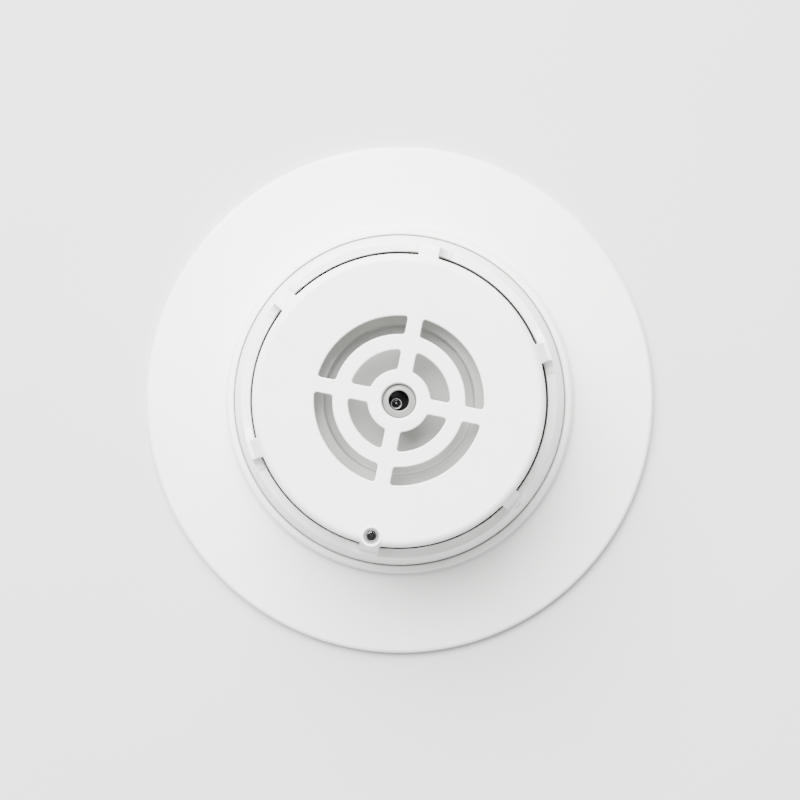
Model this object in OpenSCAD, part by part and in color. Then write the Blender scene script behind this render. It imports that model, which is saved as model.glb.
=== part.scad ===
// Heat detector: a twist-off sensing head on a wide flanged mounting base.
// The part lies on its mounting face, +Z pointing into the room.
// Origin: centre of the mounting face. The status lamp is on the -Y side.

/* [Base] */
// Outer diameter of the base flange
flange_d = 152; // [130:1:190]
// Height of the flange at its rim
rim_h = 3.4; // [3:0.1:5]
// Height of the collar that surrounds the head
collar_h = 12.5; // [12:0.1:16]
// Wall thickness of the base moulding
base_wall = 2.2; // [1.8:0.1:2.8]
// Thickness of the mounting floor
floor_t = 2.4; // [2:0.1:3]
// Diameter of the wire entry in the floor
wire_entry_d = 36; // [24:1:42]
// Smallest and largest box screw spacing of the wide pair of slots
wide_pair = [83.3, 88.9]; // [80:0.1:90]
// Smallest and largest box screw spacing of the narrow pair of slots
narrow_pair = [60, 70]; // [56:1:72]
// Width of the mounting slots
slot_w = 4.4; // [3.6:0.1:5]
// Number of stiffening ribs under the flange
rib_count = 12; // [6:1:18]

/* [Head] */
// Diameter of the head where it enters the collar
head_d = 97.2; // [95:0.1:118]
// Width of the deck round the cap
deck_w = 2.7; // [2.4:0.05:4]
// Wall thickness of the front cover
cover_wall = 1.8; // [1.4:0.1:2.2]
// Thickness of the cap
cap_t = 2; // [1.6:0.1:2.6]
// Depth of the rim round the cap
cap_rim = 5.6; // [4:0.1:7]
// Height of the air gap between the deck and the cap rim
air_gap = 11.4; // [8:0.2:13]
// Angular width of each pillar
pillar_deg = 8; // [6:0.5:12]
// Radius of the flare on each side of a pillar's foot
flare_r = 3.7; // [2:0.1:4.4]
// Height of the step where a flare begins
flare_step = 0.35; // [0.2:0.05:0.8]

/* [Grille] */
// Inner and outer radius of the outer windows
outer_window = [18.6, 23.8]; // [16:0.1:26]
// Inner and outer radius of the inner windows
inner_window = [8.8, 14.3]; // [7:0.1:16]
// Width of the spokes between the windows
spoke_w = 4.3; // [3:0.1:6]
// Radius of the window corners
window_corner = 0.8; // [0.3:0.1:1.2]
// Diameter of the bore that the sensor sits in
sensor_bore_d = 5.6; // [4.6:0.1:7]
// Wall thickness of the sleeve in the hub
sleeve_wall = 0.85; // [0.7:0.05:1.4]
// Diameter of the thermistor bead
bead_d = 3.1; // [2:0.1:3.4]

/* [Lamp] */
// Distance of the lamp from the edge of the cap
lamp_inset = 2.6; // [2.5:0.05:3.4]
// Diameter of the lamp body
lamp_d = 3; // [2.6:0.1:3.4]
// Outer diameter of the bezel round the lamp
bezel_d = 4.5; // [4:0.1:5]

/* [Twist lock] */
// Turn between locked and free, in degrees
twist_deg = 20; // [18:1:22]
// Number of lock lugs
lug_count = 3; // [2:1:3]
// Angular width of one lug
lug_deg = 15; // [10:1:16]
// Gap between the head and the collar
twist_gap = 0.35; // [0.25:0.05:0.6]

/* [Board] */
// Thickness of the circuit board
board_t = 1.6; // [1:0.1:2]
// Height of the tallest parts on the board
part_h = 7.1; // [6.2:0.1:14]
// Number of contacts
contact_count = 4; // [2:1:4]

/* [Hidden] */
$fn = 96;

over = 1;
fit_gap = 0.1;
free_gap = 0.4;
axial_gap = 0.2;

flange_r = flange_d / 2;
head_r = head_d / 2;
collar_r = head_r + twist_gap;
collar_out = collar_r + base_wall;
collar_chamfer = 1.3;
rim_round = 1.5;
root_h = rim_h + 3;
root_fillet = 1.6;

// Twist lock, from the head inwards
chassis_out = head_r - cover_wall - fit_gap;
chassis_wall = 1.3;
chassis_in = chassis_out - chassis_wall;
hook_out = chassis_in - free_gap;
hook_reach = 2.1;
upstand_out = hook_out - hook_reach;
upstand_t = 1.6;
upstand_in = upstand_out - upstand_t;
lug_in = upstand_out + free_gap;
lug_z = floor_t + 2.8;
lug_t = 1.8;
hook_z = lug_z + lug_t + axial_gap;
hook_t = 1.4;
hook_deg = lug_deg + 5.6;
stop_deg = 2;
stop_gap_deg = 0.4;
lock_start = 45;
seat_z = lug_z - axial_gap;
seat_in = chassis_in + 1.6;

// Contacts, round a circle inside the lock ring
contact_r = upstand_in - 7.8;
spring_w = 5;
// Contact angles are laid out at a radius of 33.5; this keeps their widths at any other radius
plan = 33.5 / contact_r;
sheet_t = 0.6;
blade_t = 0.8;
blade_w = 4;
blade_gap = 0.05;
boss_h = 2;
boss_z = floor_t + boss_h;
jaw_z = boss_z + sheet_t;
blade_z = jaw_z + blade_gap;
upper_jaw_z = blade_z + blade_t + blade_gap;
screw_deg = -10.5 * plan;
plate_side = 7;
plate_t = 1;
screw_r = 1.6;
screw_head_r = 3;
screw_head_h = 2;
nut_side = 6;
nut_t = 2;
contact_start = 45;
rivet_deg = 15 * plan;

// Heights in the head
chassis_z = jaw_z + plate_t + screw_head_h + 1.6;
chassis_t = 1.6;
chassis_top = chassis_z + chassis_t;
flange_top = chassis_top - 2.6;
post_h = 3.2;
pin_deg = 75;
board_z = chassis_top + post_h;
board_top = board_z + board_t;
roof_under = board_top + part_h + 0.6;
carrier_t = 1.5;
carrier_top = roof_under + carrier_t;
deck_t = 1.8;
deck_z = carrier_top + deck_t;
cap_under = deck_z + air_gap;
head_h = cap_under + cap_rim;

// Radii in the head
crest_r = head_r - 3;
crest_round = 0.6;
deck_in = crest_r - deck_w;
cap_r = deck_in - 1.7;
cap_round = 2.3;
cover_screw_r = head_r - 5.2;
cover_boss_r = 2.6;
cover_screw_d = 2.5;
board_r = cover_screw_r - cover_boss_r - free_gap;
wall_out = board_r - 0.2;
wall_t = 1.4;
wall_in = wall_out - wall_t;
carrier_r = crest_r - cover_wall - 0.25;
pillar_count = 6;

// Sensor column
chimney_in = sensor_bore_d / 2;
chimney_out = chimney_in + 1;
sleeve_in = chimney_out + fit_gap;
sleeve_out = sleeve_in + sleeve_wall;
hub_r = sleeve_out + 0.15;
sleeve_top = head_h - 0.9;
nose_cone = 1.1;
nose_hole = chimney_in + 0.05;
chimney_top = sleeve_top - nose_cone - 0.6;
well_z = carrier_top + 4.8;
ledge_z = well_z + 4;
well_r = outer_window[0] + 2.8;
shelf_r = outer_window[1] + 2.4;
foot_r = cap_r - 0.8;
foot_w = 4.9;
baffle_t = 1.4;
bead_shift = chimney_in - bead_d / 2 - fit_gap;
bead_deg = 241;
bead_at = [bead_shift * cos(bead_deg), bead_shift * sin(bead_deg), chimney_top - 2.2];
plug_z = well_z + 1;
plug_t = 1.5;
lead_r = 0.25;
lead_pitch = 1.4;
lead_x = [bead_at[0] - lead_pitch / 2, bead_at[0] + lead_pitch / 2];
port_w = 1.8;
port_z = well_z + baffle_t + 1.4;
port_h = 4;
stake_r = 1.1;
stake_head_r = stake_r + 0.7;
stake_ring = wall_in - stake_head_r - fit_gap;

// Lamp
lamp_r = cap_r - lamp_inset;
lamp_r_body = lamp_d / 2;
lamp_boss_r = bezel_d / 2 + 0.85;
lamp_boss_z = head_h + 0.3;
lamp_tip = head_h + 0.4;
lamp_flange_r = lamp_r_body + 0.4;
lamp_body_h = 4.4;
lamp_flange_h = 1;
lamp_base_z = lamp_tip - lamp_body_h - lamp_flange_h;
lamp_pitch = 2.54;
bezel_z = lamp_base_z + lamp_flange_h;
bezel_top = head_h - 0.05;

white = "#f1f1ee";
black = "#1c1c1e";
metal = "#c9c4b4";

// Points of an arc about (cx, cz) from angle a0 to a1 in equal steps
function arc(cx, cz, r, a0, a1, steps = 6) =
    [for (i = [0:steps]) let (a = a0 + (a1 - a0) * i / steps) [cx + r * cos(a), cz + r * sin(a)]];

// Part of a flat ring: from radius r0 to r1, height z0 to z1, angle a0 to a1
module sector(r0, r1, z0, z1, a0, a1) {
    rotate([0, 0, a0])
        rotate_extrude(angle = a1 - a0)
            translate([r0, z0])
                square([r1 - r0, z1 - z0]);
}

// Full flat ring from radius r0 to r1, height z0 to z1
module ring(r0, r1, z0, z1) {
    difference() {
        translate([0, 0, z0])
            cylinder(r = r1, h = z1 - z0);
        translate([0, 0, z0 - over])
            cylinder(r = r0, h = z1 - z0 + 2 * over);
    }
}

// Upright cylinder from height z0 to z1 at radius d and angle a
module post(r, z0, z1, d = 0, a = 0) {
    rotate([0, 0, a])
        translate([d, 0, z0])
            cylinder(r = r, h = z1 - z0, $fn = 48);
}

module around(count, start = 0) {
    for (i = [0:count - 1])
        rotate([0, 0, start + i * 360 / count])
            children();
}

// Slot through the floor, along X, for box screws spaced from pair[0] to pair[1]
module slot(pair) {
    half = pair / 2;
    for (x = half)
        translate([x, 0, -over])
            cylinder(r = slot_w / 2, h = floor_t + 2 * over, $fn = 48);
    translate([half[0], -slot_w / 2, -over])
        cube([half[1] - half[0], slot_w, floor_t + 2 * over]);
}

// ---- Base ----

// Section of flange, collar and floor, turned round the axis
module base_section() {
    polygon(concat(
        [[wire_entry_d / 2, 0], [collar_out, 0], [collar_out, root_h - base_wall],
         [flange_r - base_wall, rim_h - base_wall + 0.6], [flange_r - base_wall, 0], [flange_r, 0]],
        arc(flange_r - rim_round, rim_h - rim_round, rim_round, 0, 85),
        arc(collar_out + root_fillet, root_h + root_fillet, root_fillet, 265, 180),
        [[collar_out, collar_h - collar_chamfer]],
        arc(collar_out - collar_chamfer, collar_h - collar_chamfer, collar_chamfer, 10, 90),
        [[collar_r, collar_h], [collar_r, floor_t], [wire_entry_d / 2, floor_t]]
    ));
}

// Hook, its upstand and the two stops that end the turn of one lug
module lock_hook() {
    half = hook_deg / 2;
    lug_half = lug_deg / 2;
    stop_out = hook_out - 0.4;
    far_stop = twist_deg + lug_half + stop_gap_deg;
    difference() {
        sector(upstand_in, hook_out, floor_t - over, hook_z + hook_t, -half, half);
        sector(upstand_out, hook_out + over, floor_t - 2 * over, hook_z, -half - 1, half + 1);
    }
    sector(upstand_out - 0.5, stop_out, floor_t - over, hook_z + 0.5,
           -lug_half - stop_gap_deg - stop_deg, -lug_half - stop_gap_deg);
    sector(upstand_in + 0.2, stop_out, floor_t - over, hook_z, far_stop, far_stop + stop_deg);
}

module terminal_boss() {
    sector(contact_r - 6, contact_r + 5, floor_t - over, boss_z, -18 * plan, 8 * plan);
}

module flange_rib() {
    rotate([90, 0, 0])
        linear_extrude(height = 1.2, center = true)
            polygon([[collar_out - over, 0.6], [collar_out - over, root_h - base_wall + 0.4],
                     [flange_r - base_wall + over, rim_h - base_wall + 0.8],
                     [flange_r - base_wall + over, 0.6]]);
}

module base_body() {
    color(white)
    difference() {
        union() {
            rotate_extrude()
                base_section();
            ring(seat_in, collar_r + over, floor_t - over, seat_z);
            around(lug_count, lock_start)
                lock_hook();
            around(contact_count, contact_start)
                terminal_boss();
            around(rib_count, 15)
                flange_rib();
        }
        for (a = [0, 180])
            rotate([0, 0, a])
                slot(wide_pair);
        for (a = [90, 270])
            rotate([0, 0, a])
                slot(narrow_pair);
        around(contact_count, contact_start)
            rotate([0, 0, screw_deg]) {
                post(screw_r + fit_gap, -over, boss_z + over, contact_r);
                translate([contact_r, 0, (nut_t + 1) / 2 - over / 2])
                    cube([nut_side + fit_gap * 2, nut_side + fit_gap * 2, nut_t + 1 + over], center = true);
            }
    }
}

module captive_nuts() {
    color(metal)
    around(contact_count, contact_start + screw_deg)
        difference() {
            translate([contact_r, 0, 1 + nut_t / 2])
                cube([nut_side, nut_side, nut_t], center = true);
            post(screw_r, 0, nut_t + 2, contact_r);
        }
}

module contact_springs() {
    half = spring_w / 2;
    color(metal)
    around(contact_count, contact_start)
        difference() {
            sector(contact_r - half, contact_r + half, boss_z, upper_jaw_z + sheet_t,
                   -17 * plan, 7.5 * plan);
            sector(contact_r - half - over, contact_r + half + over, jaw_z, upper_jaw_z + over,
                   -19 * plan, -4.6 * plan);
            sector(contact_r - half - over, contact_r + half + over, jaw_z, upper_jaw_z,
                   -3.4 * plan, 9 * plan);
            rotate([0, 0, screw_deg])
                post(screw_r + fit_gap, 0, jaw_z + over, contact_r);
        }
}

module clamp_plates() {
    color(metal)
    around(contact_count, contact_start + screw_deg)
        difference() {
            translate([contact_r, 0, jaw_z + plate_t / 2])
                cube([plate_side, plate_side - 0.6, plate_t], center = true);
            post(screw_r + fit_gap, 0, jaw_z + plate_t + over, contact_r);
        }
}

module terminal_screws() {
    head_z = jaw_z + plate_t;
    color(metal)
    around(contact_count, contact_start + screw_deg)
        difference() {
            union() {
                post(screw_r, 0.8, head_z + over, contact_r);
                post(screw_head_r, head_z, head_z + screw_head_h, contact_r);
            }
            translate([contact_r, 0, head_z + screw_head_h])
                for (a = [45, 135])
                    rotate([0, 0, a])
                        cube([0.8, 3.6, 2], center = true);
        }
}

// ---- Head ----

module chassis_lug() {
    sector(lug_in, chassis_in + 0.6, lug_z + 0.1, lug_z + lug_t, -lug_deg / 2, lug_deg / 2);
}

module rear_chassis() {
    color(white)
    difference() {
        union() {
            rotate_extrude()
                polygon([[0, chassis_z], [chassis_in, chassis_z], [chassis_in, lug_z], [head_r, lug_z],
                         [head_r, flange_top], [chassis_out, flange_top], [chassis_out, chassis_top],
                         [0, chassis_top]]);
            around(lug_count, lock_start)
                chassis_lug();
            ring(wire_entry_d / 2 + 2, wire_entry_d / 2 + 3.2, chassis_z - 1, chassis_z + 0.5);
            around(6, pin_deg)
                post(2.2, chassis_top - over, board_z, board_r - 5);
            around(2, pin_deg)
                post(0.9, chassis_top, board_top + 0.6, board_r - 5);
        }
        around(contact_count, contact_start) {
            sector(contact_r - blade_w / 2 - fit_gap, contact_r + blade_w / 2 + fit_gap,
                   chassis_z - over, chassis_top + over, 7.8 * plan, 9.9 * plan);
            rotate([0, 0, rivet_deg])
                post(1.2, chassis_z - over, chassis_top + over, contact_r);
        }
        around(3, 90)
            post(cover_screw_d / 2 + fit_gap, chassis_z - over, chassis_top + over, cover_screw_r);
    }
}

module contact_blades() {
    half = blade_w / 2;
    color(metal)
    around(contact_count, contact_start)
        difference() {
            union() {
                sector(contact_r - half, contact_r + half, blade_z, blade_z + blade_t,
                       -2.8 * plan, 9.6 * plan);
                sector(contact_r - half, contact_r + half, blade_z, board_z - over,
                       8.1 * plan, 9.6 * plan);
                sector(contact_r - 1, contact_r + 1, board_z - 2 * over, board_top + 0.8,
                       8.1 * plan, 9.6 * plan);
                sector(contact_r - half, contact_r + half, chassis_z - blade_t, chassis_z,
                       8.1 * plan, 18.5 * plan);
            }
            rotate([0, 0, rivet_deg])
                post(1.2, chassis_z - blade_t - over, chassis_z + over, contact_r);
        }
}

module blade_rivets() {
    color(metal)
    around(contact_count, contact_start + rivet_deg) {
        post(1.2, chassis_z - blade_t - 0.4, chassis_top + 0.4, contact_r);
        post(1.9, chassis_z - blade_t - 0.6, chassis_z - blade_t, contact_r);
        post(1.9, chassis_top, chassis_top + 0.6, contact_r);
    }
}

module cover_screws() {
    color(metal)
    around(3, 90)
        difference() {
            union() {
                post(cover_screw_d / 2, chassis_z - over, chassis_top + 7, cover_screw_r);
                post(1.9, chassis_z - 1.2, chassis_z, cover_screw_r);
            }
            translate([cover_screw_r, 0, chassis_z - 1.2])
                for (a = [0, 90])
                    rotate([0, 0, a])
                        cube([0.6, 2.6, 1.2], center = true);
        }
}

module circuit_board() {
    color("#1f6b3a")
    difference() {
        translate([0, 0, board_z])
            cylinder(r = board_r, h = board_t);
        around(contact_count, contact_start)
            sector(contact_r - 1.2, contact_r + 1.2, board_z - over, board_top + over,
                   7.7 * plan, 10 * plan);
        around(2, pin_deg)
            post(1, board_z - over, board_top + over, board_r - 5);
        for (x = lead_x)
            translate([x, bead_at[1], board_z - over])
                cylinder(r = lead_r + fit_gap, h = board_t + 2 * over, $fn = 24);
        for (x = [-1, 1])
            translate([x * lamp_pitch / 2, -lamp_r, board_z - over])
                cylinder(r = lead_r + fit_gap, h = board_t + 2 * over, $fn = 24);
    }
}

// Places on the board are laid out for a radius of 40.4 and spread with it
spread = board_r / 40.4;

// Chips: [x, y, length, width, legs on each side]
chips = [[12, 4, 8.7, 3.9, 7], [-12, 8, 4.9, 3.9, 4]];
chip_lift = 0.2;
chip_h = 1.5;
leg_pitch = 1.27;

module control_chips() {
    color(black)
    for (c = chips)
        translate([c[0] * spread, c[1] * spread, board_top + chip_lift + chip_h / 2])
            difference() {
                cube([c[2], c[3], chip_h], center = true);
                translate([-c[2] / 2 + 0.9, -c[3] / 2 + 0.9, chip_h / 2])
                    cylinder(r = 0.4, h = 0.4, center = true, $fn = 24);
            }
}

module chip_legs() {
    color(metal)
    for (c = chips)
        translate([c[0] * spread, c[1] * spread, board_top])
            for (i = [0:c[4] - 1])
                for (s = [-1, 1])
                    translate([(i - (c[4] - 1) / 2) * leg_pitch, s * c[3] / 2, 0])
                        mirror([0, s < 0 ? 1 : 0, 0])
                            rotate([90, 0, 90])
                                linear_extrude(height = 0.4, center = true)
                                    polygon([[0, 0.9], [0.55, 0.9], [0.75, 0.2], [1.15, 0.2],
                                             [1.15, 0], [0.6, 0], [0.4, 0.7], [0, 0.7]]);
}

module electrolytic_capacitors() {
    color("#3a4250")
    for (p = [[-2, 20], [-16, -14]])
        translate([p[0] * spread, p[1] * spread, board_top])
            rotate_extrude($fn = 64)
                polygon(concat([[0, 0], [2.5, 0], [2.5, 0.9], [2.3, 1.15], [2.5, 1.4]],
                               arc(2.1, part_h - 0.4, 0.4, 0, 90, 3), [[0, part_h]]));
}

module chip_resistors() {
    color(black)
    for (p = [[22, 12], [22, 16], [18, -8], [18, -12], [-22, 4], [-22, 0], [4, -22], [-4, 13]])
        translate([p[0] * spread, p[1] * spread, board_top + 0.3])
            cube([3.2, 1.6, 0.6], center = true);
}

module chip_capacitors() {
    color("#b89a6a")
    for (p = [[12, -3], [-12, 2], [25, -2], [8, 11], [-6, -20], [14, 20]])
        translate([p[0] * spread, p[1] * spread, board_top + 0.45])
            cube([2, 1.25, 0.9], center = true);
}

module bridge_diodes() {
    color(black)
    for (p = [[-28, 14], [-28, 9], [-21, 18], [-15, 18]])
        translate([p[0] * spread, p[1] * spread, board_top]) {
            translate([0, 0, 1.1])
                cube([3, 2.6, 2], center = true);
            translate([0, 0, 0.1])
                cube([4.6, 1.4, 0.2], center = true);
        }
}

module transistors() {
    color(black)
    for (p = [[20, -20, 20], [27, -12, 80]])
        translate([p[0] * spread, p[1] * spread, board_top])
            rotate([0, 0, p[2]]) {
                translate([0, 0, 1.6])
                    linear_extrude(height = 4.6)
                        difference() {
                            circle(r = 2.3, $fn = 48);
                            translate([-3, 1.2])
                                square([6, 3]);
                        }
                for (x = [-1.27, 0, 1.27])
                    translate([x - 0.2, -0.2, 0])
                        cube([0.4, 0.4, 1.8]);
            }
}

module surge_varistor() {
    color("#2f5aa8")
    translate([-30 * spread, -8 * spread, board_top]) {
        translate([0, 0, part_h - 2.9])
            rotate([0, 90, 0])
                cylinder(r = 2.9, h = 2, center = true, $fn = 48);
        for (y = [-1.8, 1.8])
            translate([-0.25, y - 0.25, 0])
                cube([0.5, 0.5, part_h - 2.9]);
    }
}

// Magnet test switch: glass tube with a lead bent down at each end
module reed_switch() {
    color("#9fb8a8")
    translate([4 * spread, -15 * spread, board_top + 1.6]) {
        rotate([0, 90, 0])
            cylinder(r = 1.1, h = 12, center = true, $fn = 48);
        for (s = [-1, 1]) {
            translate([s * 7, 0, 0])
                rotate([0, 90, 0])
                    cylinder(r = 0.3, h = 3, center = true, $fn = 24);
            translate([s * 8.2, 0, -1.6])
                cylinder(r = 0.3, h = 1.9, $fn = 24);
        }
    }
}

module ports() {
    around(4, 45)
        translate([0, -port_w / 2, port_z])
            cube([sleeve_out + over, port_w, port_h]);
}

module inner_carrier() {
    color(black)
    difference() {
        union() {
            translate([0, 0, roof_under])
                cylinder(r = carrier_r, h = carrier_t);
            ring(wall_in, wall_out, board_top, roof_under + over);
            translate([0, 0, roof_under])
                cylinder(r = chimney_out, h = chimney_top - roof_under);
        }
        difference() {
            translate([0, 0, roof_under - over])
                cylinder(r = chimney_in, h = head_h);
            translate([0, 0, plug_z])
                cylinder(r = chimney_in + over, h = plug_t);
        }
        for (x = lead_x)
            translate([x, bead_at[1], plug_z - over])
                cylinder(r = lead_r + fit_gap, h = plug_t + 2 * over, $fn = 24);
        ports();
        around(3, 90)
            post(cover_boss_r + free_gap, board_top - over, carrier_top + over, cover_screw_r);
        around(3, 90)
            post(stake_r + fit_gap, roof_under - over, carrier_top + over, stake_ring);
        translate([0, -lamp_r, roof_under])
            cube([lamp_pitch + 1.6, 1.8, 2 * carrier_t + 2 * over], center = true);
        translate([0, -lamp_r, board_top + over])
            cube([lamp_pitch + 1.6, 1.8, 2 * part_h + 4 * over], center = true);
    }
}

module air_baffle() {
    color(white)
    difference() {
        union() {
            rotate_extrude()
                polygon([[chimney_out + fit_gap, well_z], [well_r, well_z], [well_r, ledge_z],
                         [shelf_r, ledge_z], [foot_r, carrier_top + 1.4], [foot_r, carrier_top],
                         [foot_r - foot_w, carrier_top], [foot_r - foot_w, carrier_top + 1],
                         [shelf_r - 0.6, ledge_z - baffle_t], [well_r + baffle_t, ledge_z - baffle_t],
                         [well_r + baffle_t, well_z - baffle_t],
                         [chimney_out + fit_gap, well_z - baffle_t]]);
            around(3, 90) {
                post(stake_r, roof_under - 0.4, carrier_top + over, stake_ring);
                post(stake_head_r, roof_under - 0.6, roof_under, stake_ring);
            }
        }
        translate([0, -lamp_r - over, carrier_top])
            cube([2 * lamp_flange_r + 0.6, 5.6, 8], center = true);
    }
}

module sensor_sleeve() {
    color("#d9d9d6")
    difference() {
        rotate_extrude()
            polygon([[sleeve_in, well_z], [sleeve_out, well_z], [sleeve_out, sleeve_top - nose_cone],
                     [sleeve_out - 0.4, sleeve_top - nose_cone + 0.5], [nose_hole + 0.3, sleeve_top],
                     [nose_hole, sleeve_top - 0.3], [nose_hole, chimney_top], [sleeve_in, chimney_top]]);
        ports();
    }
}

module thermistor_bead() {
    color(black)
    translate(bead_at)
        difference() {
            scale(bead_d)
                sphere(d = 1, $fn = 64);
            for (x = [-1, 1])
                translate([x * lead_pitch / 2, 0, -bead_d])
                    cylinder(r = lead_r, h = bead_d, $fn = 24);
        }
}

module thermistor_leads() {
    color(metal)
    for (x = lead_x)
        translate([x, bead_at[1], board_z - 0.8])
            cylinder(r = lead_r, h = bead_at[2] - board_z + 0.8, $fn = 24);
}

module reference_thermistor() {
    color("#3b2f2a")
    translate([14 * spread, -26 * spread, board_top]) {
        translate([0, 0, 3.6])
            sphere(r = 1.3, $fn = 48);
        for (x = [-0.7, 0.7])
            translate([x, 0, 0])
                cylinder(r = lead_r, h = 3.2, $fn = 24);
    }
}

module status_lamp() {
    shoulder = 0.4 * lamp_r_body;
    top = lamp_body_h + lamp_flange_h;
    color("#e8ecec")
    translate([0, -lamp_r, lamp_base_z])
        rotate_extrude($fn = 64)
            polygon(concat([[0, 0], [lamp_flange_r, 0], [lamp_flange_r, lamp_flange_h],
                            [lamp_r_body, lamp_flange_h]],
                           arc(lamp_r_body - shoulder, top - shoulder, shoulder, 0, 90, 8),
                           [[0, top]]));
}

module lamp_leads() {
    color(metal)
    for (x = [-1, 1])
        translate([x * lamp_pitch / 2, -lamp_r, board_z - 0.8])
            cylinder(r = lead_r, h = lamp_base_z - board_z + 0.8, $fn = 24);
}

module lamp_bezel() {
    color("#9a9a9a")
    translate([0, -lamp_r, 0])
        ring(lamp_r_body + 0.05, bezel_d / 2, bezel_z, bezel_top);
}

// One window of the grille in the first quarter, between two spokes, with rounded corners
module window(radii) {
    inset = spoke_w / 2 + window_corner;
    inner = radii[0] + window_corner;
    outer = radii[1] - window_corner;
    a0 = asin(inset / inner);
    a1 = asin(inset / outer);
    polygon(concat(
        arc(outer * cos(a1), inset, window_corner, -90, a1, 4),
        arc(0, 0, radii[1], a1, 90 - a1, 12),
        arc(inset, outer * cos(a1), window_corner, 90 - a1, 180, 4),
        arc(inset, inner * cos(a0), window_corner, 180, 270 - a0, 4),
        arc(0, 0, radii[0], 90 - a0, a0, 12),
        arc(inner * cos(a0), inset, window_corner, 180 + a0, 270, 4)
    ));
}

// Section of one pillar, from the wall over the crest up to the cap face
module pillar_section() {
    polygon(concat(
        [[deck_in + 0.2, deck_z - 1], [crest_r - 0.4, deck_z - 1], [crest_r - 0.2, deck_z + 0.4],
         [cap_r + 0.3, cap_under + 0.3]],
        arc(cap_r - 0.7, cap_under + 1.2, 1, 0, 80, 4),
        [[cap_r - 1.7, cap_under + 1.9], [cap_r - 1.7, cap_under + 0.2], [deck_in + 0.2, deck_z + 2]]
    ));
}

// Outline across a pillar's foot, which sweeps up to the pillar from both sides
module flare_section() {
    side = deck_in * sin(pillar_deg / 2) - 0.3;
    reach = side + flare_r;
    level = deck_z + flare_step;
    polygon(concat(
        [[-reach, deck_z - 0.8], [reach, deck_z - 0.8]],
        arc(reach, level + flare_r, flare_r, 270, 180),
        arc(-reach, level + flare_r, flare_r, 0, -90)
    ));
}

module wall_section() {
    bend_z = collar_h + 0.1;
    polygon(concat(
        [[head_r - cover_wall, flange_top], [head_r, flange_top], [head_r, bend_z]],
        arc(crest_r - crest_round, deck_z - crest_round, crest_round, 12, 90, 4),
        [[deck_in, deck_z], [deck_in, carrier_top], [crest_r - cover_wall, carrier_top],
         [head_r - cover_wall, bend_z - 1]]
    ));
}

module cap_section() {
    polygon(concat(
        [[0, head_h - cap_t], [cap_r - 2, head_h - cap_t], [cap_r - 2, cap_under], [cap_r, cap_under]],
        arc(cap_r - cap_round, head_h - cap_round, cap_round, 0, 90),
        [[0, head_h]]
    ));
}

module front_cover() {
    half = pillar_deg / 2;
    color(white)
    difference() {
        union() {
            rotate_extrude()
                wall_section();
            rotate_extrude()
                cap_section();
            around(pillar_count, 30) {
                rotate([0, 0, -half])
                    rotate_extrude(angle = pillar_deg)
                        pillar_section();
                intersection() {
                    rotate([90, 0, 90])
                        linear_extrude(height = crest_r)
                            flare_section();
                    ring(deck_in + 0.1, crest_r - 0.3, deck_z - over, cap_under);
                }
            }
            around(3, 90) {
                post(cover_boss_r, chassis_top, carrier_top + over, cover_screw_r);
                translate([cover_screw_r, -1, chassis_top])
                    cube([head_r - cover_wall / 2 - cover_screw_r, 2, 3]);
            }
            translate([0, 0, chimney_top - 0.8])
                cylinder(r = hub_r + 1.5, h = head_h - chimney_top + 0.8);
            translate([0, -lamp_r, cap_under])
                cylinder(r = lamp_boss_r, h = lamp_boss_z - cap_under, $fn = 64);
        }
        translate([0, 0, chimney_top - over])
            cylinder(r = hub_r, h = head_h);
        translate([0, 0, head_h - cap_t - over])
            linear_extrude(height = cap_t + 2 * over)
                for (a = [0:90:270])
                    rotate([0, 0, a]) {
                        window(outer_window);
                        window(inner_window);
                    }
        around(3, 90)
            post(cover_screw_d / 2, chassis_top - over, chassis_top + 8, cover_screw_r);
        translate([0, -lamp_r, bezel_z])
            cylinder(r = bezel_d / 2, h = head_h, $fn = 64);
        translate([0, -lamp_r, lamp_base_z - 6])
            cylinder(r = lamp_flange_r + fit_gap, h = 6 + lamp_flange_h, $fn = 64);
    }
}

base_body();
captive_nuts();
contact_springs();
clamp_plates();
terminal_screws();
rear_chassis();
contact_blades();
blade_rivets();
cover_screws();
circuit_board();
control_chips();
chip_legs();
electrolytic_capacitors();
chip_resistors();
chip_capacitors();
bridge_diodes();
transistors();
surge_varistor();
reed_switch();
inner_carrier();
air_baffle();
sensor_sleeve();
thermistor_bead();
thermistor_leads();
reference_thermistor();
status_lamp();
lamp_leads();
lamp_bezel();
front_cover();
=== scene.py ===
import math

import bpy
from mathutils import Matrix, Vector


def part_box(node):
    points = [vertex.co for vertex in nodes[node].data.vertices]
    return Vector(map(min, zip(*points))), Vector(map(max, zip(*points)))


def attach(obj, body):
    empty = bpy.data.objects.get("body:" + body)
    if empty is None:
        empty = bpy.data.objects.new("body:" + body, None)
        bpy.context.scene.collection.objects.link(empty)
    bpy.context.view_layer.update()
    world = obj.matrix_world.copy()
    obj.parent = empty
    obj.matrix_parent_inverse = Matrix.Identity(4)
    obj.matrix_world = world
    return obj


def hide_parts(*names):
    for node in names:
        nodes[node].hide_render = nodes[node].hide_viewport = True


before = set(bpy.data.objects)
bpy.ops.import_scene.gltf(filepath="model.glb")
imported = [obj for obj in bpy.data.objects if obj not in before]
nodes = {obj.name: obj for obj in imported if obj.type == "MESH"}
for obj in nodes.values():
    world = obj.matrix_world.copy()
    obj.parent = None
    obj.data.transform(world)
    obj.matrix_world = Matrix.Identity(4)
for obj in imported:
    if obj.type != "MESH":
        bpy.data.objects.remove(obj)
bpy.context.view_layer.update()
MM = 0.001
TURN = 2 * math.pi


# ---- White moulded plastic ----
# Satin white ABS, injection moulded in a spark-eroded tool. It gives a soft, wide highlight, a skin
# of very fine grain and a faint unevenness of tone where the melt cooled at different speeds.

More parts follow.
